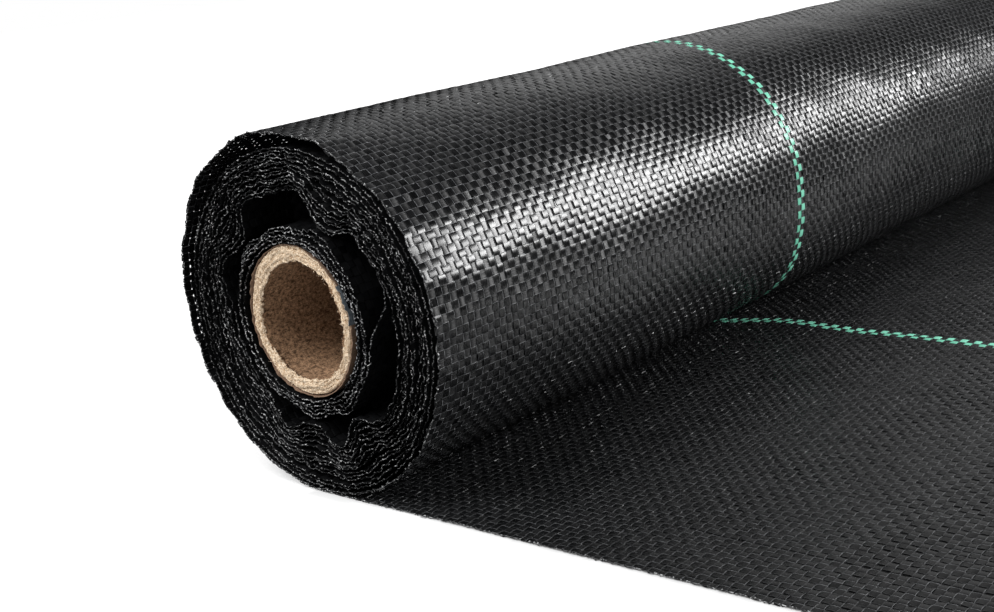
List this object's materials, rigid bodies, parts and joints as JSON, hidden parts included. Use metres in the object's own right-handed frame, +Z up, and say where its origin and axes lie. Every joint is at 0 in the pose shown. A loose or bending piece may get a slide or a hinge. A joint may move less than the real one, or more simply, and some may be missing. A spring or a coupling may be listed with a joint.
{
  "type": "roll of weed control fabric",
  "caption": "Roll of black woven weed control fabric with green marker tapes, wound loosely on a cardboard core, its free length laid flat on the floor.",
  "frame": {"origin": "on the floor under the roll's axis, half way along the roll, on the laid sheet's underside", "axes": "+Y along the roll's axis, away from the pictured end; +X the way the sheet runs off; +Z up"},
  "size_m": [0.4787, 1.002, 0.1155],
  "materials": {
    "woven_black": "satin",
    "marker_green": "satin",
    "core_board": "matte",
    "core_skin": "matte",
    "core_liner": "matte",
    "start_tape": "satin"
  },
  "bodies": {
    "laid_web": {"laid_sheet": "woven_black", "outer_wrap": "woven_black", "marker_tape_wrap_1": "marker_green", "marker_tape_wrap_2": "marker_green", "marker_tape_wrap_3": "marker_green", "marker_tape_sheet_1": "marker_green", "marker_tape_sheet_2": "marker_green", "marker_tape_sheet_3": "marker_green"},
    "roll": {"core_turns": "woven_black", "crumpled_turns": "woven_black", "outer_turns": "woven_black"},
    "core": {"core_tube": "core_board", "core_outer_paper": "core_skin", "core_liner_paper": "core_liner", "start_tape": "start_tape"},
    "free_end": {"free_end": "woven_black", "marker_tape_end_1": "marker_green", "marker_tape_end_2": "marker_green", "marker_tape_end_3": "marker_green"}
  },
  "joints": [
    {"name": "roll_turn", "type": "hinge", "parent": "laid_web", "child": "roll", "pos_m": [0, 0, 0.05665], "axis": [0, -1, 0], "continuous": true},
    {"name": "core_slide", "type": "slide", "parent": "roll", "child": "core", "axis": [0, -1, 0], "range_m": [-0.25, 0.25]},
    {"name": "end_lift", "type": "hinge", "parent": "laid_web", "child": "free_end", "pos_m": [0.24, 0, 0.00125], "axis": [0, -1, 0], "range_deg": [0, 170]}
  ]
}
